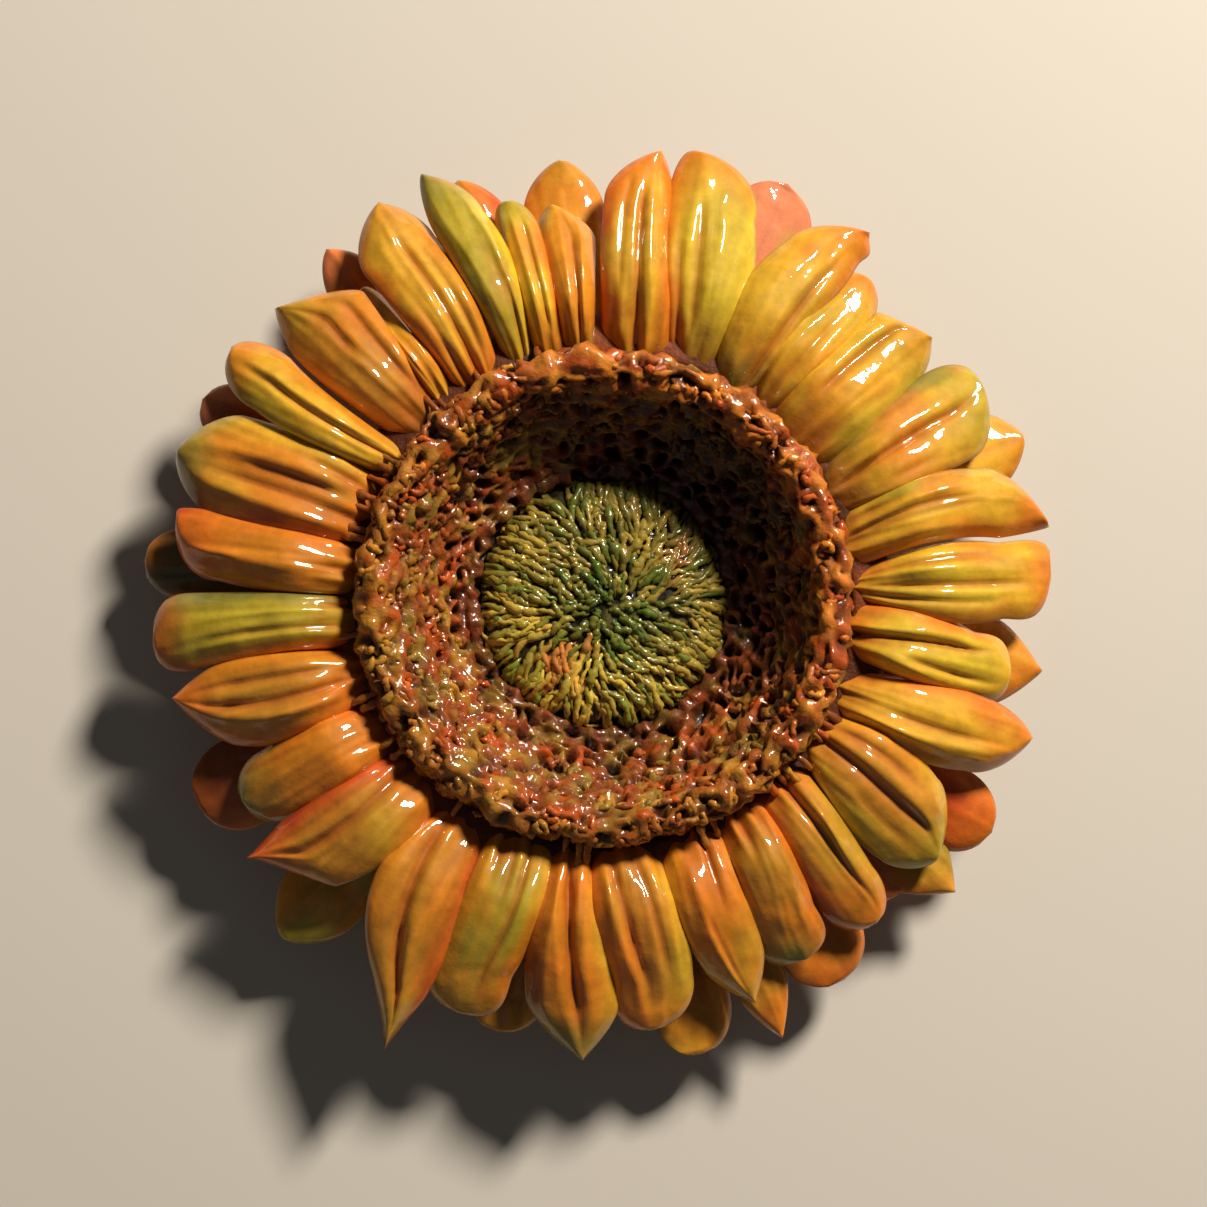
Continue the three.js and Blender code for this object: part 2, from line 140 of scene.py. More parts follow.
def cells(points, size, seed):
    # Cell pattern of the given spacing in mm: the distances to the two nearest middles, and a draw per cell.
    place = points / size
    base = np.floor(place).astype(np.int64)
    near, second, draw = (np.full(len(points), value) for value in (9.0, 9.0, 0.0))
    for step in np.ndindex(3, 3, 3):
        cell = base + np.array(step) - 1
        middle = cell + np.stack([cellDraw(cell, seed + k) for k in (0, 1, 2)], axis=1)
        distance = np.linalg.norm(place - middle, axis=1)
        closer = distance < near
        second = np.where(closer, near, np.minimum(second, distance))
        draw = np.where(closer, cellDraw(cell, seed + 3), draw)
        near = np.where(closer, distance, near)
    return near * size, second * size, draw


def readPoints(obj):
    flat = np.empty(len(obj.data.vertices) * 3)
    obj.data.vertices.foreach_get("co", flat)
    return flat.reshape(-1, 3)


def placePoints(obj, points):
    # Points in mm, in the shared frame.
    obj.data.vertices.foreach_set("co", (points * mm).ravel())
    obj.data.update()


def pointNormalsOut():
    # The active object's faces are turned to point outwards.
    bpy.ops.object.mode_set(mode="EDIT")
    bpy.ops.mesh.select_all(action="SELECT")
    bpy.ops.mesh.normals_make_consistent(inside=False)
    bpy.ops.object.mode_set(mode="OBJECT")


def paintPoints(obj, colours):
    paint = obj.data.color_attributes.new("paint", "FLOAT_COLOR", "POINT")
    rgba = np.ones((len(colours), 4))
    rgba[:, :3] = np.clip(colours, 0, 1)
    paint.data.foreach_set("color", rgba.ravel())


def finishPiece(obj, name, material, node):
    obj.name = name
    obj.data.name = name
    obj.data.materials.clear()
    obj.data.materials.append(material)
    for face in obj.data.polygons:
        face.use_smooth = True
    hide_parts(node)
    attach(obj, "root")
    obj.select_set(False)


# Camera, floor and lights

view = {"distance": 462, "elevation": 84, "azimuth": 222, "fieldWidth": 157, "aim": (-0.7, -0.75, 16),
        "sensor": 36, "nearest": 10}
light = {"azimuth": 55, "elevation": 39, "distance": 900, "size": 190, "power": 11.6, "colour": "#FFF2E0"}
fill = {"azimuth": 240, "elevation": 30, "distance": 900, "size": 1500, "power": 0.34, "colour": "#F3F1EE"}
room = {"colour": "#D8D4CE", "strength": 0.05}
table = {"size": 3000, "height": -0.05, "colour": "#DCD8D0", "roughness": 0.6}


def directionTo(settings):
    # The direction from the flower to the camera or a lamp.
    up, around = math.radians(settings["elevation"]), math.radians(settings["azimuth"])
    return Vector((math.cos(up) * math.cos(around), math.cos(up) * math.sin(around), math.sin(up)))


def placeCamera():
    aim, out = Vector(view["aim"]) * mm, directionTo(view)
    right = Vector((0, 1, 0)).cross(out).normalized()
    camera = bpy.data.objects.new("camera", bpy.data.cameras.new("camera"))
    bpy.context.scene.collection.objects.link(camera)
    turn = Matrix((right, out.cross(right), out)).transposed()
    camera.matrix_world = Matrix.Translation(aim + out * view["distance"] * mm) @ turn.to_4x4()
    camera.data.sensor_width = view["sensor"]
    camera.data.lens = view["sensor"] * view["distance"] / view["fieldWidth"]
    camera.data.clip_start = view["nearest"] * mm
    bpy.context.scene.camera = camera


def placeLight(name, settings):
    direction = directionTo(settings)
    lamp = bpy.data.lights.new(name, "AREA")
    lamp.shape = "DISK"
    lamp.size = settings["size"] * mm
    lamp.energy = settings["power"]
    lamp.color = linear(settings["colour"])
    obj = bpy.data.objects.new(name, lamp)
    bpy.context.scene.collection.objects.link(obj)
    obj.location = direction * settings["distance"] * mm
    obj.rotation_euler = direction.to_track_quat("Z", "Y").to_euler()


def setStage():
    placeLight("key_light", light)
    placeLight("fill_light", fill)
    world = bpy.data.worlds.new("studio")
    bpy.context.scene.world = world
    world.use_nodes = True
    background = world.node_tree.nodes["Background"]
    background.inputs["Color"].default_value = (*linear(room["colour"]), 1)
    background.inputs["Strength"].default_value = room["strength"]
    deselectAll()
    bpy.ops.mesh.primitive_plane_add(size=table["size"] * mm, location=(0, 0, table["height"] * mm))
    floor = bpy.context.object
    floor.name = "floor"
    material, tree = newMaterial("painted_table")
    shader = addNode(tree, "ShaderNodeBsdfPrincipled",
                     {"Base Color": (*linear(table["colour"]), 1), "Roughness": table["roughness"]})
    addNode(tree, "ShaderNodeOutputMaterial", links={"Surface": shader.outputs[0]})
    floor.data.materials.append(material)
    bpy.context.scene.view_settings.view_transform = "Standard"


# Materials: clay painted by hand, under a clear poured glaze. The paint scatters light, and the coat of glaze
# over it gives small sharp highlights. ripple: size and depth in mm of the dents from fingers. grain: the same
# for the clay's own grain. coat: how much of the glaze lies on it.

brushMark = 1.6
claySkin = {"Roughness": 0.58, "IOR": 1.45, "Specular IOR Level": 0.3}
glazeSkin = {"Coat Roughness": 0.05, "Coat IOR": 1.5}
glazes = {
    "front_petal_glaze": {"ripple": (2.6, 0.12), "grain": (0.35, 0.025), "coat": 1},
    "back_petal_glaze": {"ripple": (2.2, 0.1), "grain": (0.35, 0.03), "coat": 0.8},
    "floret_glaze": {"ripple": (0.7, 0.16), "grain": (0.3, 0.05), "coat": 1},
    "centre_glaze": {"ripple": (0.7, 0.14), "grain": (0.25, 0.04), "coat": 1},
    "bed_glaze": {"ripple": (1.6, 0.3), "grain": (0.4, 0.06), "coat": 0.15},
}


def glazedClay(name):
    (rippleSize, rippleDepth), (grainSize, grainDepth) = glazes[name]["ripple"], glazes[name]["grain"]
    material, tree = newMaterial(name)
    place = addNode(tree, "ShaderNodeTexCoord").outputs["Object"]
    paint = addNode(tree, "ShaderNodeVertexColor", {"layer_name": "paint"}).outputs["Color"]
    # The paint is a little thicker and darker here and there, from the brush.
    brush = addNode(tree, "ShaderNodeTexNoise",
                    {"Scale": 1 / (brushMark * mm), "Detail": 4}, {"Vector": place})
    tone = addNode(tree, "ShaderNodeMapRange",
                   {"From Min": 0.3, "From Max": 0.7, "To Min": 0.86, "To Max": 1.1},
                   {"Value": brush.outputs["Fac"]})
    toned = addNode(tree, "ShaderNodeVectorMath", {"operation": "SCALE"},
                    {"Vector": paint, "Scale": tone.outputs["Result"]})
    ripple = addNode(tree, "ShaderNodeTexNoise",
                     {"Scale": 1 / (rippleSize * mm), "Detail": 2}, {"Vector": place})
    grain = addNode(tree, "ShaderNodeTexNoise",
                    {"Scale": 1 / (grainSize * mm), "Detail": 3}, {"Vector": place})
    rippleBump = addNode(tree, "ShaderNodeBump",
                         {"Distance": rippleDepth * mm}, {"Height": ripple.outputs["Fac"]})
    grainBump = addNode(tree, "ShaderNodeBump", {"Distance": grainDepth * mm},
                        {"Height": grain.outputs["Fac"], "Normal": rippleBump.outputs["Normal"]})
    shader = addNode(tree, "ShaderNodeBsdfPrincipled",
                     {**claySkin, **glazeSkin, "Coat Weight": glazes[name]["coat"]},
                     {"Base Color": toned.outputs["Vector"], "Normal": grainBump.outputs["Normal"]})
    tree.links.new(rippleBump.outputs["Normal"], shader.inputs["Coat Normal"])
    addNode(tree, "ShaderNodeOutputMaterial", links={"Surface": shader.outputs[0]})
    return material


# Ray petals. Angles are degrees counter-clockwise from +X, radii and depths are mm, and places along a petal
# are shares of its length from root to tip. sides: the two edges at three stations. furrows: place across at
# the root and at the tip (-1 to 1), where it starts and stops, depth. lobe: side, place along, how far it
# stands out. paint: body, root, tip, left edge, right edge.

paints = {
    "yellow": "#E4AE2B", "lemon": "#E2C02F", "green": "#B9A32B", "olive": "#7F7C33", "ochre": "#CB8A26",
    "amber": "#D8861F", "orange": "#E27A1C", "red": "#CF4A1E", "salmon": "#E0855A", "brown": "#84431C",
    "rust": "#A8521C", "moss": "#5A5426",
}
petalTones = linearTones(paints)
frontForm = {"crest": 19.2, "crestAt": 0.38, "rootDrop": 4.4, "rise": 1.8, "tipDrop": 5.8,
             "thick": (4.3, 1.9), "droop": 0.9, "seat": 13.6, "tuck": 2.5, "ridged": 1}
backForm = {"crest": 12.8, "crestAt": 0.2, "rootDrop": 0.9, "rise": 2.6, "tipDrop": 3.5,
            "thick": (2.1, 1.7), "droop": 0.4, "seat": 10.8, "tuck": 0, "ridged": 0.5}
stations = (0.1, 0.5, 0.75)
ends = {"round": (2, 0.5), "oval": (1.6, 0.75), "point": (1.3, 1), "sharp": (1, 1.3), "blunt": (4, 0.5)}
furrowWidth = 0.34
spread = 1.13
backRoot = 32.2
tuckMost = {"at": 40, "spread": 70}
rootEnd, tipStart, seatEnd = 0.14, 0.85, 0.2
petalMesh = {"segments": 88, "rings": 52, "backSegments": 64, "backRings": 40}

frontPetals = [
    dict(root=33, tip=(83, 60), sides=((90.5, 77), (90.8, 80.3), (90, 81.2)), end="oval", lift=0.4,
         furrows=((-0.05, 0.15, 0, 0.85, 1), (-0.6, -0.3, 0.3, 0.9, 0.4)),
         paint="yellow amber orange red orange"),
    dict(root=33.6, tip=(79, 61), sides=((76.5, 65.5), (80.5, 66.5), (80.7, 69.5)), end="round", lift=0.1,
         furrows=((-0.65, -0.6, 0, 0.65, 0.7), (-0.28, -0.2, 0.15, 0.85, 0.6)),
         paint="lemon brown orange orange lemon"),
    dict(root=33.4, tip=(54.5, 60), sides=((65, 55), (66, 54), (63, 53.6)), end="oval", lift=0.5,
         furrows=((0.5, 0.4, 0, 0.85, 0.8), (0.8, 0.75, 0.3, 0.7, 0.4)), lobe=(1, 0.93, 0.9),
         paint="yellow olive orange yellow ochre"),
    dict(root=33.4, tip=(51, 55.4), sides=((56, 47.5), (57, 47), (55.5, 46.8)), end="round", lift=0,
         furrows=((0.2, 0.1, 0.2, 0.75, 0.4),),
         paint="yellow brown orange green yellow"),
    dict(root=32.7, tip=(39, 55.5), sides=((48, 32), (48, 33.8), (46.8, 35.6)), end="oval", lift=0.5,
         furrows=((-0.1, -0.1, 0, 0.25, 0.4), (-0.45, -0.4, 0.3, 0.97, 0.9)), lobe=(-1, 0.88, 1.4),
         paint="yellow brown orange yellow green"),
    dict(root=33.1, tip=(31.5, 57.8), sides=((32, 20.3), (35, 21.3), (34.8, 22)), end="round", lift=0.2,
         furrows=((0.05, -0.05, 0.08, 0.97, 1.1), (0.65, 0.6, 0.3, 0.7, 0.35)),
         paint="yellow brown green olive ochre"),
    dict(root=33.1, tip=(9.6, 59.6), sides=((20, 8.5), (20.7, 10.7), (18.8, 9.7)), end="oval", lift=0.7,
         furrows=((-0.1, -0.2, 0, 0.7, 0.7), (-0.55, -0.55, 0.1, 0.5, 0.35)),
         paint="yellow yellow orange green orange"),
    dict(root=33, tip=(6.6, 59.3), sides=((6.5, -0.5), (8.9, -3.2), (7.9, -2)), end="blunt", lift=0.1,
         furrows=((-0.55, -0.6, 0.05, 0.85, 0.7), (0.05, 0.1, 0.1, 0.9, 0.7), (0.5, 0.5, 0.1, 0.8, 0.5)),
         paint="lemon amber orange yellow ochre"),
    dict(root=32.6, tip=(-10.7, 54.4), sides=((-1.2, -12.5), (-3.2, -14.6), (-5.5, -14.4)), end="blunt",
         lift=0.4, furrows=((0.25, -0.6, 0, 0.88, 1.2), (0.5, 0.45, 0.35, 0.95, 0.7)),
         paint="lemon orange yellow orange yellow"),
    dict(root=32.4, tip=(-17.7, 59.2), sides=((-16.7, -26.5), (-15, -27), (-15.1, -24.8)), end="oval",
         lift=0, furrows=((0.1, 0.15, 0.3, 0.88, 0.6),),
         paint="yellow amber orange orange ochre"),
    dict(root=32.4, tip=(-38.3, 55.3), sides=((-27.5, -38.8), (-27.4, -43), (-29.3, -42.7)), end="oval",
         lift=0.4, furrows=((-0.5, -0.6, 0.15, 0.75, 0.8), (0.05, -0.1, 0, 0.95, 0.9),
                            (0.5, 0.35, 0.4, 0.9, 0.4)),
         paint="ochre amber green yellow green"),
    dict(root=32, tip=(-50, 55.2), sides=((-41, -52.9), (-44.3, -54.7), (-45.8, -55)), end="round", lift=0,
         furrows=((0, -0.45, 0, 0.96, 0.8),),
         paint="ochre orange orange ochre rust"),
    dict(root=32, tip=(-61, 53.7), sides=((-53.5, -64), (-55, -65.3), (-56.7, -66)), end="blunt", lift=0.4,
         furrows=((0.2, 0.1, 0, 0.35, 0.45),),
         paint="ochre orange olive orange ochre"),
    dict(root=32, tip=(-69.7, 56.2), sides=((-64.5, -77.5), (-65.8, -77.1), (-66.5, -75)), end="point",
         lift=0.1, furrows=((-0.3, -0.2, 0, 0.5, 1), (0.3, 0.1, 0.45, 0.92, 0.5)),
         paint="amber orange amber ochre yellow"),
    dict(root=32, tip=(-84.3, 56.5), sides=((-79.7, -93.1), (-77.7, -91.7), (-78, -89.3)), end="round",
         lift=0.4, furrows=((-0.25, -0.5, 0.15, 0.85, 0.6), (0.45, 0, 0.15, 0.88, 0.7)),
         paint="ochre amber amber yellow orange"),
    dict(root=32.2, tip=(-93, 60.2), sides=((-93.5, -102.7), (-90.5, -102.7), (-89.1, -100.9)), end="point",
         lift=0, furrows=((0.1, -0.15, 0.12, 0.93, 1.1),),
         paint="amber amber olive yellow rust"),
    dict(root=32.7, tip=(-110, 57.2), sides=((-102.7, -116.2), (-103.2, -115.5), (-104.9, -115)), end="blunt",
         lift=0.4, furrows=((-0.3, -0.2, 0, 0.92, 0.7), (0.1, 0.15, 0, 0.5, 0.6), (0.5, 0.5, 0, 0.4, 0.5)),
         paint="green yellow ochre amber green"),
    dict(root=33.8, tip=(-116.2, 65.5), sides=((-117, -128.9), (-115.1, -128.3), (-115, -121.7)), end="sharp",
         lift=0, furrows=((0.45, -0.1, 0.12, 0.92, 1.1), (-0.7, -0.75, 0.3, 0.85, 0.4)),
         paint="ochre amber rust red amber"),
    dict(root=33.6, tip=(-144.2, 57.8), sides=((-129.5, -143.7), (-131, -144.5), (-134, -144.8)), end="sharp",
         lift=0.4, furrows=((0.4, 0, 0, 0.9, 0.8), (0.75, 0.5, 0.1, 0.9, 0.5)),
         paint="ochre orange red amber red"),
    dict(root=33.4, tip=(-150.7, 54.4), sides=((-145, -155.3), (-145.1, -156.5), (-145.5, -155.5)),
         end="round", lift=0, furrows=((-0.35, -0.2, 0, 0.35, 0.35), (0.3, 0.2, 0, 0.3, 0.3)),
         paint="amber orange olive amber orange"),
    dict(root=33.1, tip=(-166.9, 58.1), sides=((-157.7, -167.9), (-156.3, -169.5), (-158.7, -169.3)),
         end="point", lift=0.4, furrows=((-0.1, 0, 0.1, 0.95, 0.8), (0.4, 0.5, 0.2, 0.9, 0.6)),
         paint="ochre orange rust orange amber"),
    dict(root=32, tip=(-174, 59.5), sides=((-169.5, -179.7), (-170.7, -180), (-170.5, -180)), end="blunt",
         lift=0, furrows=((-0.2, -0.3, 0.1, 0.8, 0.4), (0.55, 0.6, 0, 0.3, 0.7)),
         paint="green orange rust orange olive"),
    dict(root=32, tip=(168.7, 57.3), sides=((178.9, 169.2), (178.5, 168.5), (177.1, 168.2)), end="round",
         lift=0.4, furrows=((-0.1, 0, 0.1, 0.45, 0.3),),
         paint="amber amber red orange orange"),
    dict(root=32, tip=(161.3, 59.5), sides=((168.3, 153.3), (168.2, 153.3), (167.5, 154.2)), end="oval",
         lift=0, furrows=((-0.3, -0.15, 0, 0.88, 0.6), (0.15, 0.1, 0.2, 0.8, 0.7),
                          (0.55, 0.6, 0.1, 0.5, 0.6)),
         paint="amber orange olive rust yellow"),
    dict(root=32.3, tip=(146.3, 59.1), sides=((151.3, 144.5), (152.7, 144.7), (151.7, 143.5)), end="round",
         lift=0.4, furrows=((0.1, -0.1, 0, 0.92, 0.5),),
         paint="yellow yellow amber green amber"),
    dict(root=32.8, tip=(139, 57.8), sides=((142.3, 131.7), (142.7, 130.3), (141.8, 129.5)), end="point",
         lift=0.2, furrows=((-0.1, 0, 0.5, 0.95, 0.7), (0.6, 0.5, 0.2, 0.88, 0.6)),
         paint="ochre brown ochre ochre amber"),
    dict(root=33.1, tip=(128.4, 52.2), sides=((132, 127), (131.5, 126.3), (130.8, 126.4)), end="round",
         lift=-0.7, furrows=(), paint="yellow amber yellow amber yellow"),
    dict(root=32.6, tip=(120, 60.2), sides=((125.8, 115.7), (126.3, 115), (126.5, 116.2)), end="oval",
         lift=0.4, furrows=((-0.5, -0.4, 0.05, 0.7, 0.4), (0.1, 0.1, 0, 0.88, 0.8), (0.5, 0.45, 0, 0.8, 0.6)),
         paint="yellow orange ochre orange amber"),
    dict(root=32.8, tip=(113.7, 61.1), sides=((113, 107.3), (114.5, 106.3), (115.1, 108.3)), end="oval",
         lift=0.1, furrows=((0.35, 0.4, 0, 0.5, 0.45),),
         paint="green yellow olive olive lemon"),
    dict(root=32.5, tip=(104.7, 54.4), sides=((106.3, 99.8), (106.6, 100.3), (106.5, 100.7)), end="round",
         lift=-0.2, furrows=((0.1, 0.3, 0.2, 0.92, 0.5),),
         paint="lemon brown green lemon orange"),
    dict(root=32.7, tip=(98.3, 52.8), sides=((99.9, 93.5), (100.3, 92.9), (100.9, 92.5)), end="oval",
         lift=0, furrows=((0.05, 0.2, 0, 0.92, 0.6),),
         paint="yellow olive yellow ochre amber"),
]

backPetals = [
    dict(at=95.9, reach=59.5, breadth=9.5, end="oval", paint="yellow orange amber orange amber"),
    dict(at=109.2, reach=59.4, breadth=9, end="oval", paint="orange orange orange amber red"),
    dict(at=128.4, reach=59.4, breadth=7, end="oval", paint="orange orange salmon orange red"),
    dict(at=153.6, reach=59.2, breadth=8, end="round", paint="rust brown salmon brown orange"),
    dict(at=175.2, reach=60.8, breadth=8.6, end="round", paint="moss brown moss brown rust"),
    dict(at=206.8, reach=59.8, breadth=10.6, end="round", paint="rust brown rust orange brown"),
    dict(at=226.4, reach=61.2, breadth=10, end="oval", paint="green olive green green ochre"),
    dict(at=256, reach=58.2, breadth=9.6, end="round", paint="ochre rust ochre amber rust"),
    dict(at=282.2, reach=61, breadth=9.4, end="round", paint="ochre rust amber amber ochre"),
    dict(at=292.2, reach=62, breadth=6.4, end="point", paint="ochre rust amber amber ochre"),
    dict(at=302.6, reach=59.2, breadth=10.6, end="round", paint="amber rust rust amber ochre"),
    dict(at=315.2, reach=54.8, breadth=7, end="round", paint="orange rust salmon orange orange"),
    dict(at=320.6, reach=60.4, breadth=9.4, end="point", paint="ochre rust ochre olive orange"),
    dict(at=329.4, reach=59.8, breadth=9.6, end="round", paint="red brown orange orange red"),
    dict(at=351.4, reach=59.4, breadth=10.4, end="point", paint="yellow brown orange amber amber"),
    dict(at=22, reach=60.8, breadth=10.4, end="oval", paint="yellow amber amber yellow amber"),
    dict(at=66.4, reach=61.2, breadth=10.4, end="round", paint="salmon red salmon salmon salmon"),
]


def sideAngle(petal, side, t):
    # The direction of one edge: a curve through the three stations, which then closes in on the tip.
    a, b, c = (pair[side] for pair in petal["sides"])
    p, q, last = stations
    u = np.clip(t, 0.03, last)
    curve = (a * (u - q) * (u - last) / ((p - q) * (p - last))
             + b * (u - p) * (u - last) / ((q - p) * (q - last))
             + c * (u - p) * (u - q) / ((last - p) * (last - q)))
    power, root = ends[petal["end"]]
    closing = (1 - np.clip((t - last) / (1 - last), 0, 1) ** power) ** root
    return np.where(t < last, curve, petal["tip"][0] + (c - petal["tip"][0]) * closing)


def petalFurrows(petal, across, t, thick):
    # The depth of all furrows at each point, as pressed in with a rounded tool.
    depth = np.zeros_like(t)
    for atRoot, atTip, start, stop, deep in petal.get("furrows", ()):
        away = (across - (atRoot + (atTip - atRoot) * t)) / furrowWidth
        along = smoothstep(start - 0.04, start + 0.12, t) * (1 - smoothstep(stop - 0.25, stop + 0.03, t))
        valley = np.clip(1 - np.abs(away) / 1.3, 0, 1) ** 1.9
        crease = np.exp(-(away * 4.5) ** 2)
        fold = np.exp(-((away - 0.75 * math.copysign(1, atTip + 0.01)) / 0.45) ** 2)
        depth += np.minimum(deep, 0.5 * thick) * along * (0.75 * valley + 0.5 * crease - 0.35 * fold)
    return depth


def shapePetal(obj, petal, form, seed):
    # The ball becomes a blade: t runs from root to tip, across from the left edge (-1) to the right one (1).
    ball = readPoints(obj)
    turn = np.arctan2(ball[:, 1], ball[:, 0])
    height = np.clip(ball[:, 2], -1, 1)
    t = 0.35 * (1 + height) / 2 + 0.65 * np.arccos(-height) / math.pi
    across = -np.cos(turn)
    upper = np.sin(turn) >= -1e-6
    offPoles = np.hypot(ball[:, 0], ball[:, 1]) > 1e-6

    # Its outline, seen from above.
    tuck = form["tuck"] * (0.4 + 0.6 * bend(petal["tip"][0], tuckMost["at"], tuckMost["spread"]))
    root = petal["root"] - tuck
    radius = root + t * (petal["tip"][1] - root)
    rounding = np.where(t < rootEnd, np.clip(1 - np.clip(1 - t / rootEnd, 0, 1) ** 2.6, 0, 1) ** 0.42, 1)
    left, right = sideAngle(petal, 0, t), sideAngle(petal, 1, t)
    angle = (left + right) / 2 + across * rounding * spread * (right - left) / 2
    if "lobe" in petal:
        side, at, out = petal["lobe"]
        share = np.clip(across * side, 0, 1) * np.exp(-((t - at) / 0.05) ** 2)
        angle -= side * share * np.degrees(out / radius)

    # Its thickness, and the arch from root to tip.
    closing = np.sqrt(1 - np.clip((t - tipStart) / (1 - tipStart), 0, 1) ** 2)
    swelling = np.sqrt(1 - np.clip(1 - t / rootEnd, 0, 1) ** 2)
    thick = (form["thick"][0] + (form["thick"][1] - form["thick"][0]) * t) * closing * swelling
    crestAt = form["crestAt"]
    fall = np.where(t < crestAt, form["rootDrop"] * np.clip(1 - t / crestAt, 0, 1) ** form["rise"],
                    form["tipDrop"] * np.clip((t - crestAt) / (1 - crestAt), 0, 1) ** 1.5)
    blade = smoothstep(0.15, 0.75, t)
    dome = (1 - np.abs(across) ** (4.6 - 1.6 * blade)) ** (0.5 + 0.3 * blade)

    # Pleats at the root, a roll to one side and a wave along the edges. No two petals are alike.
    rng = np.random.default_rng(seed)
    pleats = rng.uniform(0.12, 0.32) * (1 + np.cos(across * rng.uniform(7, 10) + rng.uniform(0, 6.3)))
    pleats *= 1 - smoothstep(0.12, rng.uniform(0.32, 0.5), t)
    roll, waveSize, wavePhase = rng.uniform(-0.6, 0.6), rng.uniform(0.25, 0.6), rng.uniform(0, 6.3)
    wavy = roll * across * smoothstep(0, 0.4, t)
    wavy += waveSize * np.abs(across) ** 3 * np.sin(5.5 * t + wavePhase + across)
    seat = np.where(t < seatEnd, form["seat"], 0)
    middle = form["crest"] + petal["lift"] - fall - 0.55 * thick
    middle = np.maximum(middle - form["droop"] * across ** 2 + wavy * (t > 0), seat + 0.3)
    furrow = (petalFurrows(petal, across, t, thick) + pleats) * dome
    top = middle + 0.55 * thick * dome - furrow
    low = np.maximum(middle - 0.45 * thick * dome, seat)
    points = turned(radius, np.radians(angle), np.where(upper, top, low))

    # Pressed ridges, brush lines and lumps on its upper face.
    ridges = np.zeros_like(t)
    for _ in range(3):
        start, slant, size = rng.uniform(-0.8, 0.8), rng.uniform(-0.5, 0.5), rng.uniform(0.2, 0.5)
        ridges += size * (np.exp(-np.abs(across - start - slant * t) / 0.17) - 0.3)
    ridges *= smoothstep(0.08, 0.3, t) * (1 - smoothstep(0.75, 0.97, t)) * form["ridged"]
    lines = softNoise(flatPoints(angle * 1.2, radius * 0.09), 1.0, seed + 90)
    lumps = 0.28 * softNoise(points, 4.5, seed) + 0.1 * softNoise(points, 1.8, seed + 20)
    points[:, 2] += (lumps + 0.11 * lines + ridges) * dome * closing * swelling * offPoles * upper
    placePoints(obj, points)

    # Paint: the body, blended into the edges, the root and the tip, with patches, and rust in the furrows.
    # Painted shade darkens the rims of the upper face and the whole underside.
    body, atRoot, atTip, atLeft, atRight = (petalTones[name] for name in petal["paint"].split())
    blot = softNoise(points, 3.2, seed + 40) * 0.5
    streak = softNoise(flatPoints(angle * 0.9, radius * 0.12), 1.0, seed + 80) * 0.5
    patch = softNoise(points, 7, seed + 60)
    colour = evenColour(body, len(t))
    colour = mix(colour, atLeft, smoothstep(0.35, 1, -across + 0.3 * blot + 0.2 * streak))
    colour = mix(colour, atRight, smoothstep(0.35, 1, across + 0.3 * blot - 0.2 * streak))
    colour = mix(colour, atRoot, 0.85 * (1 - smoothstep(0, 0.3, t + 0.12 * blot + 0.08 * streak)))
    colour = mix(colour, atTip, 0.85 * smoothstep(0.72, 1, t + 0.12 * blot + 0.06 * streak))
    colour = mix(colour, petalTones["orange"], 0.55 * smoothstep(0.1, 0.7, patch + 0.3 * streak))
    colour = mix(colour, petalTones["green"], 0.4 * smoothstep(0.15, 0.8, 0.3 * streak - patch))
    colour = colour * (1 + 0.14 * lines)[:, None]
    inFurrow = 0.65 * np.clip(furrow / 0.8, 0, 1) + 0.1 * np.clip(streak, 0, 1)
    colour = mix(colour, petalTones["rust"], inFurrow)
    # Painted shade: a brown rim along the edges of the upper face.
    colour = mix(colour, petalTones["brown"], 0.4 * smoothstep(0.92, 1.0, np.abs(across)) * upper)
    # Painted shade: the underside is half brown.
    paintPoints(obj, mix(colour, petalTones["brown"], 0.5 * ~upper))


def makePetal(name, petal, form, segments, rings, seed, material, node):
    deselectAll()
    bpy.ops.mesh.primitive_uv_sphere_add(segments=segments, ring_count=rings, radius=1)
    obj = bpy.context.object
    shapePetal(obj, petal, form, seed)
    pointNormalsOut()
    finishPiece(obj, name, material, node)


def makePetals():
    frontClay = glazedClay("front_petal_glaze")
    backClay = glazedClay("back_petal_glaze")
    for i, petal in enumerate(frontPetals):
        makePetal(f"front_petal_{i + 1}", petal, frontForm, petalMesh["segments"], petalMesh["rings"], i + 1,
                  frontClay, "ray_petals_front")
    for i, row in enumerate(backPetals):
        sides = []
        for station, share in zip(stations, (0.74, 0.96, 1)):
            radius = backRoot + station * (row["reach"] - backRoot)
            half = math.degrees(0.5 * row["breadth"] * share / radius)
            sides.append((row["at"] + half, row["at"] - half))
        petal = dict(root=backRoot, tip=(row["at"], row["reach"]), sides=sides, end=row["end"],
                     lift=0 if i % 2 else -0.5, paint=row["paint"])
        makePetal(f"back_petal_{i + 1}", petal, backForm, petalMesh["backSegments"], petalMesh["backRings"],
                  i + 60, backClay, "ray_petals_back")
    print("petals made")


# Turned clay forms: a profile of radius and height, run round the flower's axis.

profilePoints, pointsPerSpan = 400, 30


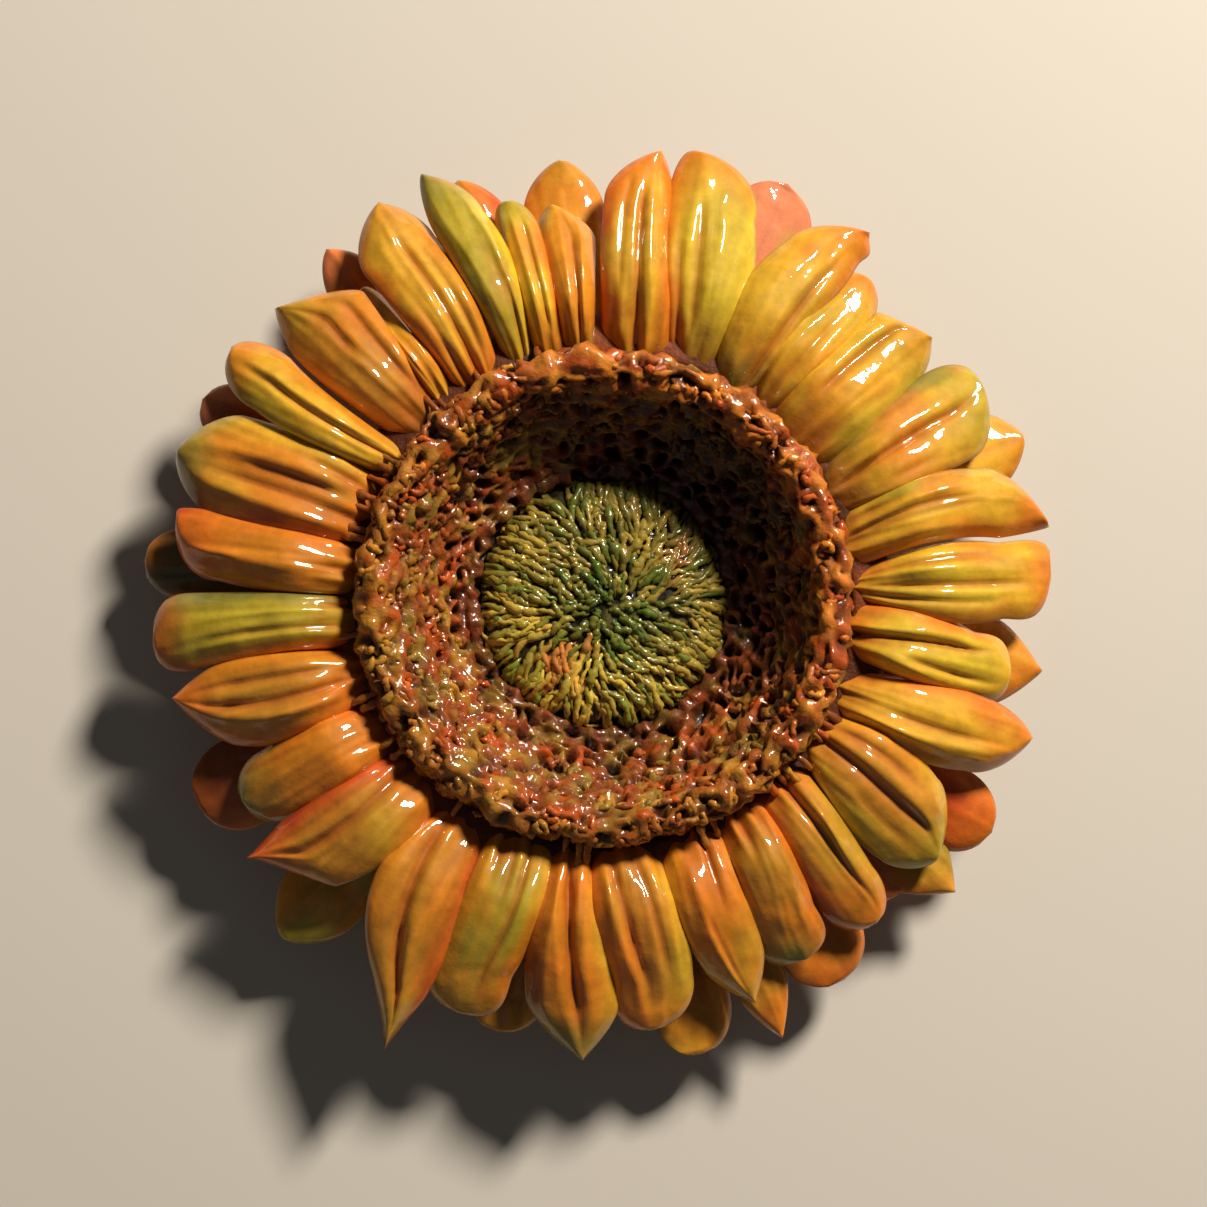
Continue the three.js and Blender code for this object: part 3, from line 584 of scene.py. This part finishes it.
def smoothProfile(corners):
    # A smooth curve through the corners, evenly spaced along its length, with its outward normals.
    corners = np.array(corners, dtype=float)
    padded = np.vstack([2 * corners[0] - corners[1], corners, 2 * corners[-1] - corners[-2]])
    line = []
    for i in range(len(corners) - 1):
        a, b, c, d = padded[i:i + 4]
        u = np.linspace(0, 1, pointsPerSpan, endpoint=False)[:, None]
        line.append(0.5 * (2 * b + (c - a) * u + (2 * a - 5 * b + 4 * c - d) * u ** 2
                           + (3 * b - a - 3 * c + d) * u ** 3))
    line = np.vstack(line + [corners[-1:]])
    length = np.concatenate([[0], np.cumsum(np.hypot(*np.diff(line, axis=0).T))])
    even = np.linspace(0, length[-1], profilePoints)
    r, z = (np.interp(even, length, line[:, k]) for k in (0, 1))
    dr, dz = np.gradient(r), np.gradient(z)
    size = np.hypot(dr, dz) + 1e-9
    return r, z, dz / size, -dr / size


def profileAt(corners, along):
    # Radius, height and outward direction at shares of the profile's length.
    shares = np.linspace(0, 1, profilePoints)
    return [np.interp(along, shares, line) for line in smoothProfile(corners)]


def addHoop(around, across):
    # A plain hoop, the turn of each point, and its share of the way round the section from the lowest line.
    deselectAll()
    bpy.ops.mesh.primitive_torus_add(major_segments=around, minor_segments=across, major_radius=2,
                                     minor_radius=1)
    flat = readPoints(bpy.context.object)
    lap = (np.arctan2(flat[:, 2], np.hypot(flat[:, 0], flat[:, 1]) - 2) / (2 * math.pi) + 0.25) % 1
    return bpy.context.object, np.arctan2(flat[:, 1], flat[:, 0]), lap


def addBall(around, rows):
    # A plain ball, the turn of each point, and its share of the way from the lower pole to the upper one.
    deselectAll()
    bpy.ops.mesh.primitive_uv_sphere_add(segments=around, ring_count=rows, radius=1)
    flat = readPoints(bpy.context.object)
    climb = np.arccos(-np.clip(flat[:, 2], -1, 1)) / math.pi
    return bpy.context.object, np.arctan2(flat[:, 1], flat[:, 0]), climb


# Worms of clay: closed tubes along given paths, thinner at both ends, with shallow dents.

wormDents = {"depth": 0.14, "size": 0.8}


def unit(vectors):
    return vectors / (np.linalg.norm(vectors, axis=-1, keepdims=True) + 1e-9)


def makeWorms(name, paths, outward, widths, tops, valley, sides=7):
    # paths and outward: worms x steps x 3, in mm. widths: worms x steps. tops: the colour of each worm's upper
    # side. valley: the painted shade on its sides and underside.
    count, steps = widths.shape
    along = unit(np.gradient(paths, axis=1))
    aside = unit(np.cross(along, outward))
    up = np.cross(aside, along)
    turn = np.arange(sides) * 2 * math.pi / sides
    loops = paths[:, :, None] + widths[..., None, None] * (np.cos(turn)[:, None] * up[:, :, None]
                                                          + np.sin(turn)[:, None] * aside[:, :, None])
    inner = loops[:, 1:-1].reshape(count, -1, 3)
    points = np.concatenate([paths[:, :1], inner, paths[:, -1:]], axis=1)
    each = points.shape[1]
    pattern = []
    for k in range(sides):
        after = (k + 1) % sides
        pattern.append((0, 1 + after, 1 + k))
        last = 1 + (steps - 3) * sides
        pattern.append((each - 1, last + k, last + after))
        for j in range(steps - 3):
            start = 1 + j * sides
            pattern.append((start + k, start + after, start + sides + after, start + sides + k))
    faces = [tuple(v + w * each for v in face) for w in range(count) for face in pattern]
    flat = points.reshape(-1, 3)
    outwards = unit(flat - np.repeat(paths.mean(axis=1), each, axis=0))
    flat += outwards * (wormDents["depth"] * softNoise(flat, wormDents["size"], 71))[:, None]
    flat[:, 2] = np.minimum(flat[:, 2], ring["highest"])
    mesh = bpy.data.meshes.new(name)
    mesh.from_pydata((flat * mm).tolist(), [], faces)
    obj = bpy.data.objects.new(name, mesh)
    bpy.context.scene.collection.objects.link(obj)
    deselectAll()
    bpy.context.view_layer.objects.active = obj
    obj.select_set(True)
    pointNormalsOut()
    # Painted shade: each worm keeps its own colour on its upper side, and its sides and underside take the
    # valley colour.
    height = np.ones((count, each))
    height[:, 1:-1] = np.tile(np.cos(turn), steps - 2)
    own = np.repeat(tops, each, axis=0) * (1 + 0.3 * softNoise(flat, 1.3, 72))[:, None]
    paintPoints(obj, mix(evenColour(valley, len(flat)), own, smoothstep(-0.7, 0.3, height.ravel())))
    return obj


# The ring of florets: torn, lumpy clay, poked full of holes. Short worms of clay lie over it.

ring = {
    "corners": [(30.6, 5.7), (31, 7), (31, 12), (31, 15.6), (31.2, 16.8), (31.4, 18.6), (31.4, 19.8),
                (30.9, 20.6), (29.8, 20.9), (28.4, 20), (26.6, 16.8), (24.2, 12.1), (21.2, 8.8), (18.8, 7.3),
                (17.3, 7), (16.3, 5.7)],
    "footHeight": 16.1, "lipTop": 21, "footSwell": {"at": 220, "spread": 28, "out": 2.2},
    "dip": {"at": 225, "spread": 75, "down": 1.3}, "lean": {"toward": 163, "by": 0.9}, "highest": 22.15,
    "around": 700, "across": 140, "cellSize": 2.3, "ridge": 1.45, "hole": 2.1, "lump": 0.35,
}
floretPaints = {"wall": "#904A16", "ochre": "#BC8228", "olive": "#867024", "red": "#C05010",
                "valley": "#46210D", "darkShade": "#0E0703", "foot": "#70401E", "litLip": "#E88222"}
floretWorms = {"count": 780, "steps": 9, "stride": (0.2, 0.46), "from": 0.29, "to": 0.94, "way": 38,
               "thick": 0.5}
strings = {"count": 34, "steps": 8, "drop": 16, "from": 105, "to": 345, "span": (2.4, 4.6),
           "thick": (0.35, 0.6)}


def ringSurface(turn, along):
    # The ring before it is torn: points and outward directions.
    r, z, outR, outZ = profileAt(ring["corners"], along)
    degrees = np.degrees(turn)
    climb = np.clip((z - ring["footHeight"]) / (ring["lipTop"] - ring["footHeight"]), 0, 1)
    outside = np.clip((r - 27) / 3, 0, 1) * (z > ring["footHeight"])
    circle = turned(31, turn, 0 * turn)
    wave = 0.5 * softNoise(circle, 5, 2) + 0.35 * softNoise(circle, 2.2, 14)
    swell = ring["footSwell"]["out"] * bend(degrees, ring["footSwell"]["at"], ring["footSwell"]["spread"])
    r = r + outside * ((1 - climb) * swell + climb * wave)
    dip = ring["dip"]["down"] * bend(degrees, ring["dip"]["at"], ring["dip"]["spread"]) * climb
    toward = math.radians(ring["lean"]["toward"])
    points = turned(r, turn, z - dip)
    points[:, :2] += (ring["lean"]["by"] * climb)[:, None] * (math.cos(toward), math.sin(toward))
    return points, turned(outR, turn, outZ)


def floretColour(points, tones):
    # Dabs of orange, ochre, olive and red over the brown clay.
    blot, patch = softNoise(points, 1.7, 12), softNoise(points, 5, 13)
    colour = evenColour(tones["wall"], len(points))
    colour = mix(colour, tones["ochre"], smoothstep(0.05, 0.5, blot + 0.2 * patch))
    colour = mix(colour, tones["olive"], 0.7 * smoothstep(0.3, 0.7, blot - 0.6 * patch))
    colour = mix(colour, tones["red"], 0.8 * smoothstep(0.2, 0.6, -blot + 0.3 * patch))
    # Painted light: the lip is lit orange, most at the upper right towards the key light. The outer wall is
    # more ochre at the lower left. Painted shadow darkens the bowl's side at the upper right.
    degrees = np.degrees(np.arctan2(points[:, 1], points[:, 0]))
    reach, litLip = np.hypot(points[:, 0], points[:, 1]), smoothstep(18.5, 20.6, points[:, 2])
    # Painted light on the top of the lip, strongest at the upper right.
    litLip = 0.75 * litLip * (0.15 + 0.85 * bend(degrees, 45, 80)) * smoothstep(-0.6, 0.2, blot)
    colour = mix(colour, tones["litLip"], litLip)
    colour = mix(colour, tones["ochre"], 0.5 * smoothstep(28, 31, reach) * bend(degrees, 225, 60))
    # Painted shadow: the lip's shadow is painted near black on the bowl's side at the upper right.
    shade = 0.75 * (1 - smoothstep(14.5, 19.5, points[:, 2])) * bend(degrees, 52, 56)
    return mix(colour, tones["darkShade"], shade)


def makeRing():
    obj, turn, lap = addHoop(ring["around"], ring["across"])
    underside = 0.02
    # The hidden foot takes few rows, the lip and the bowl take most.
    along = np.interp(lap, (underside, 0.06, 0.16, 1 - underside), (0, 0.25, 0.36, 1))
    smooth, outward = ringSurface(turn, along)
    share = np.where(lap < 0.5, 0.5 - 0.5 * lap / underside, 0.5 + 0.5 * (1 - lap) / underside)
    under = (lap < underside) | (lap > 1 - underside)
    footR, innerR = ring["corners"][0][0], ring["corners"][-1][0]
    smooth[under] = turned(footR + (innerR - footR) * share[under], turn[under], smooth[under, 2])

    # Cells pushed out of place give ridges of clay round deep holes, and noise tears them.
    warp = np.stack([softNoise(smooth, 1.7, k) for k in (3, 4, 5)], axis=1) * 0.6
    near, second, draw = cells(smooth + warp, ring["cellSize"], 11)
    gap = second - near
    knots, beads = softNoise(smooth, 2.4, 9), softNoise(smooth, 1.0, 10)
    ridge = np.sqrt(1 - np.clip(gap / (0.9 + 0.3 * knots), 0, 1) ** 2)
    hole = smoothstep(0.65, 1.3, gap) * (0.35 + 0.65 * draw)
    torn = np.clip(0.85 + 0.35 * knots + 0.45 * beads, 0.1, 1.35)
    rise = ring["ridge"] * ridge * torn - ring["hole"] * hole - 0.45
    rise = rise * (0.75 + 0.25 * smoothstep(0.28, 0.38, along)) + ring["lump"] * softNoise(smooth, 1.4, 6)
    rise += 0.2 * softNoise(smooth, 0.6, 8) + 0.3 * softNoise(smooth, 4, 7)
    rise *= np.where(under, 0, smoothstep(0.25, 0.29, along) * np.clip((1 - along) / 0.04, 0, 1))
    points = smooth + outward * rise[:, None]
    points[:, 2] = np.clip(points[:, 2], ring["corners"][0][1], ring["highest"])
    placePoints(obj, points)

    tones = linearTones(floretPaints)
    colour = floretColour(points, tones)
    colour = mix(colour, tones["valley"], 0.85 * (1 - smoothstep(0.2, 0.9, ridge * torn)))
    colour = mix(colour, tones["foot"], 0.6 * (1 - smoothstep(0.3, 0.4, along)))
    colour = mix(colour, tones["valley"], 0.6 * smoothstep(0.84, 0.95, along))
    # Painted shade: the holes are painted near black.
    paintPoints(obj, mix(colour, tones["darkShade"], 0.93 * smoothstep(0.15, 0.55, hole)))
    clay = glazedClay("floret_glaze")
    finishPiece(obj, "floret_ring_clay", clay, "floret_ring")
    makeFloretWorms(tones, clay)
    makeStrings(tones, clay)
    print("ring made")


def makeFloretWorms(tones, clay):
    # Short worms wander over the ring, mostly on the lip and the upper bowl, a little deeper at the bottom.
    rng = np.random.default_rng(8)
    count, steps = floretWorms["count"], floretWorms["steps"]
    turn = rng.uniform(0, 2 * math.pi, count)
    along = 0.31 + 0.6 * rng.beta(1.1, 1.5, count)
    heading = rng.uniform(0, 2 * math.pi, count)
    stride = rng.uniform(*floretWorms["stride"], count)
    lift = rng.uniform(-0.45, 0.25, count) - 0.05 * (bend(np.degrees(turn), 270, 45) * (along > 0.5))
    paths, outward, widths = [], [], []
    for step in range(steps):
        points, out = ringSurface(turn, np.clip(along, floretWorms["from"], floretWorms["to"]))
        share = step / (steps - 1)
        arch = lift + 0.35 * np.sin(math.pi * share + rng.normal(0, 0.15, count))
        paths.append(points + out * arch[:, None])
        outward.append(out)
        swell = np.clip(4 * share * (1 - share), 0, 1) ** 0.35 * (1 + 0.25 * rng.normal(0, 1, count))
        widths.append(np.clip(floretWorms["thick"] * swell, 0.12, 0.95))
        turn = turn + stride * np.cos(heading) / np.hypot(points[:, 0], points[:, 1])
        along = along + stride * np.sin(heading) / floretWorms["way"]
        heading = heading + rng.normal(0, 0.5, count)
    paths, outward = np.stack(paths, axis=1), np.stack(outward, axis=1)
    tops = floretColour(paths.mean(axis=1), tones) * rng.uniform(0.8, 1.25, count)[:, None]
    obj = makeWorms("floret_worms", paths, outward, np.stack(widths, axis=1), tops, tones["valley"])
    finishPiece(obj, "floret_worms", clay, "floret_ring")


def makeStrings(tones, clay):
    # Strings of clay reach from the foot of the ring over to the roots of the petals.
    rng = np.random.default_rng(12)
    count, steps = strings["count"], strings["steps"]
    turn = np.radians(rng.uniform(strings["from"], strings["to"], count))
    start = ringSurface(turn, rng.uniform(0.31, 0.36, count))[0]
    span = rng.uniform(*strings["span"], count)
    paths = []
    for step in range(steps):
        share = step / (steps - 1)
        drift = turn + rng.normal(0, 0.006, count)
        point = start + turned(1, drift, 0 * drift) * (span * share)[:, None]
        sink = (strings["drop"] - start[:, 2]) * share ** 0.7
        point[:, 2] = start[:, 2] + sink + 0.4 * math.sin(math.pi * share)
        paths.append(point)
    paths = np.stack(paths, axis=1)
    widths = rng.uniform(*strings["thick"], (count, 1)) * (1 + 0.15 * rng.normal(0, 1, (count, steps)))
    upward = np.zeros_like(paths)
    upward[..., 2] = 1
    tops = floretColour(paths.mean(axis=1), tones) * rng.uniform(0.8, 1.2, count)[:, None]
    obj = makeWorms("floret_strings", paths, upward, widths, tops, tones["valley"])
    finishPiece(obj, "floret_strings", clay, "floret_ring")


# The green centre: torn strands, which turn about a point a little off the middle, over a cushion painted near
# black as shade in the gaps.

centre = {
    "corners": [(0, 5.7), (15.2, 5.7), (15.6, 6.3), (15.2, 7.2), (13.4, 8.1), (10.5, 9), (7, 9.5), (3.5, 9.7),
                (0, 9.7)],
    "topFrom": 2, "around": 260, "rows": 90, "edge": 0.08, "edgeLength": 0.47,
}
strands = {"count": 580, "steps": 11, "sides": 8, "whorl": (-0.3, -0.8), "reach": 15, "furthest": 15.9,
           "stride": (0.34, 0.66), "thick": (0.3, 0.58), "scatter": 0.4}
centrePaints = {"olive": "#7C7226", "green": "#566F1C", "yellow": "#B89C3C", "rust": "#A8552A",
                "gap": "#121108"}


def centreSurface(x, y):
    # Points and outward directions of the cushion's top.
    r, z, outR, outZ = smoothProfile(centre["corners"][centre["topFrom"]:])
    order = np.argsort(r)
    height, slant, rise = (np.interp(np.hypot(x, y), r[order], line[order]) for line in (z, outR, outZ))
    return np.stack([x, y, height], axis=-1), turned(slant, np.arctan2(y, x), rise)


def makeCentre():
    obj, turn, along = addBall(centre["around"], centre["rows"])
    edge, edgeLength = centre["edge"], centre["edgeLength"]
    # The hidden underside takes few rows, the top takes most.
    way = np.clip(along / edge, 0, 1) * edgeLength
    way += np.clip((along - edge) / (1 - edge), 0, 1) * (1 - edgeLength)
    r, z, outR, outZ = profileAt(centre["corners"], way)
    rise = (0.05 + 0.3 * softNoise(turned(r, turn, z), 1.2, 21)) * smoothstep(edge, 0.14, along)
    placePoints(obj, turned(r + outR * rise, turn, z + outZ * rise))
    tones = linearTones(centrePaints)
    # Painted shade: the cushion is near black, with a little olive on its bumps.
    paintPoints(obj, mix(evenColour(tones["gap"], len(r)), tones["olive"], 0.4 * smoothstep(0, 0.3, rise)))
    clay = glazedClay("centre_glaze")
    finishPiece(obj, "centre_cushion", clay, "disc_centre")
    makeStrands(tones, clay)
    print("centre made")


def makeStrands(tones, clay):
    # Strands start all over the cushion and run outwards from the whorl.
    rng = np.random.default_rng(5)
    count, steps, scatter = strands["count"], strands["steps"], strands["scatter"]
    whorlX, whorlY = strands["whorl"]
    order = np.arange(count) + 0.5
    radius = np.abs(strands["reach"] * np.sqrt(order / count) - 0.9 + rng.uniform(-0.5, 0.5, count))
    spiral = math.pi * (3 - math.sqrt(5)) * order
    x = radius * np.cos(spiral) + rng.uniform(-scatter, scatter, count)
    y = radius * np.sin(spiral) + rng.uniform(-scatter, scatter, count)
    fromWhorl = np.hypot(x - whorlX, y - whorlY)
    stride = rng.uniform(*strands["stride"], count) * (0.45 + 0.55 * np.clip(fromWhorl / 6, 0, 1))
    thick = rng.uniform(*strands["thick"], count)
    veer = rng.normal(0, 0.2, count)
    lean = rng.uniform(-0.4, 0.6, count)
    paths, outward, widths = [], [], []
    for step in range(steps):
        share = step / (steps - 1)
        points, out = centreSurface(x, y)
        paths.append(points + out * (lean * share + 0.1 + 0.25 * np.sin(math.pi * share))[:, None])
        outward.append(out)
        taper = np.clip(4.2 * share * (1 - share), 0.1, 1) ** 0.4
        widths.append(thick * taper * (1 + 0.24 * rng.normal(0, 1, count)))
        whirl = 0.9 * np.exp(-np.hypot(x - whorlX, y - whorlY) / 3)
        heading = np.arctan2(y - whorlY, x - whorlX) + whirl + 0.15
        heading = heading + 0.7 * softNoise(flatPoints(x, y), 5, 15) + veer
        heading = heading + rng.normal(0, 0.24, count)
        x, y = x + stride * np.cos(heading), y + stride * np.sin(heading)
        over = np.minimum(1, strands["furthest"] / (np.hypot(x, y) + 1e-9))
        x, y = x * over, y * over
        veer = veer + rng.normal(0, 0.14, count)
    paths, outward = np.stack(paths, axis=1), np.stack(outward, axis=1)

    # Olive, with yellow strands all over, green round the whorl, and two patches touched with rust.
    middle = paths.mean(axis=1)
    blot, owner = softNoise(middle, 1.8, 22), rng.random(count)
    tops = evenColour(tones["olive"], count)
    tops = mix(tops, tones["yellow"], 0.85 * smoothstep(0.3, 0.9, owner + 0.3 * blot))
    green = 0.7 * (1 - smoothstep(1.5, 6, fromWhorl + 2 * blot)) + 0.6 * (owner < 0.2)
    tops = mix(tops, tones["green"], np.clip(green, 0, 1))
    touched = np.maximum(np.exp(-((middle[:, 0] + 6) ** 2 + (middle[:, 1] + 8) ** 2) / 30),
                         0.6 * np.exp(-((middle[:, 0] - 9) ** 2 + (middle[:, 1] - 6) ** 2) / 30))
    tops = mix(tops, tones["rust"], 0.7 * smoothstep(0.5, 1.1, touched + 0.5 * blot))
    degrees = np.degrees(np.arctan2(middle[:, 1], middle[:, 0]))
    # Painted light: the strands are lighter towards the lower left, away from the whorl, and darker elsewhere.
    tops = tops * (0.82 + 1.1 * bend(degrees, 235, 65) * smoothstep(2, 8, fromWhorl))[:, None]
    obj = makeWorms("centre_strands", paths, outward, np.stack(widths, axis=1), tops, tones["gap"],
                    strands["sides"])
    finishPiece(obj, "centre_strands", clay, "disc_centre")


# The hoops of clay that the petals are pressed on, and the plain dish behind it all.

# The petal hoops are painted dark brown as shade in the gaps between the petals and under the ring. Their
# blotches and rust are the clay's own.
beds = {
    "petal_bed_front": {
        "corners": [(34, 13.35), (36.6, 13.4), (37.7, 14.1), (36, 15.1), (34, 15.7), (32.2, 15.75),
                    (31.9, 14.6), (32.1, 13.4), (34, 13.35)],
        "hoop": True, "node": "ray_petals_front", "slot": "front_petal_clay", "colour": "#5A2A10"},
    "petal_bed_back": {
        "corners": [(34, 10.75), (35.8, 10.8), (36.8, 11.5), (36.2, 12.6), (34, 12.95), (32.2, 12.9),
                    (31.9, 11.9), (32.1, 10.8), (34, 10.75)],
        "hoop": True, "node": "ray_petals_back", "slot": "back_petal_clay", "colour": "#3A2210"},
    "receptacle_dish": {
        "corners": [(0, 0.02), (18.6, 0.02), (24.5, 1.3), (30.2, 4.1), (34, 7.2), (35.7, 9.4), (35.1, 10.3),
                    (32.3, 10.35), (31.7, 9.8), (31.5, 6.2), (30.8, 5.42), (0, 5.38)],
        "hoop": False, "node": "receptacle", "slot": "receptacle_clay", "colour": "#7C7230"},
}
bedMesh = {"hoop": (180, 36), "dish": (200, 80)}
fingerMarks = {"count": 17, "depth": 0.35}


def makeBeds():
    clay = glazedClay("bed_glaze")
    for index, (name, bed) in enumerate(beds.items()):
        obj, turn, along = addHoop(*bedMesh["hoop"]) if bed["hoop"] else addBall(*bedMesh["dish"])
        r, z, outR, outZ = profileAt(bed["corners"], along)
        smooth = turned(r, turn, z)
        # Finger marks round the dish, fading towards the flat spot and the well.
        press = 0.5 - 0.5 * np.cos(turn * fingerMarks["count"])
        side = smoothstep(19.5, 24, r) * (outZ < 0.3) * (outR > -0.3)
        rise = -np.clip(0.25 * softNoise(smooth, 5, 30 + index) + fingerMarks["depth"] * press, 0, 0.7) * side
        points = turned(r + outR * rise, turn, z + outZ * rise)
        points[:, 2] = np.maximum(points[:, 2], 0)
        placePoints(obj, points)
        tone = np.array(linear(bed["colour"]))
        blot = softNoise(smooth, 6, 50 + index)
        colour = mix(evenColour(tone, len(r)), tone * 0.6, smoothstep(0, 0.8, blot))
        paintPoints(obj, mix(colour, petalTones["rust"], 0.5 * smoothstep(0.2, 0.9, -blot)))
        finishPiece(obj, name, clay, bed["node"])
    print("beds made")


placeCamera()
setStage()
makePetals()
makeRing()
makeCentre()
makeBeds()
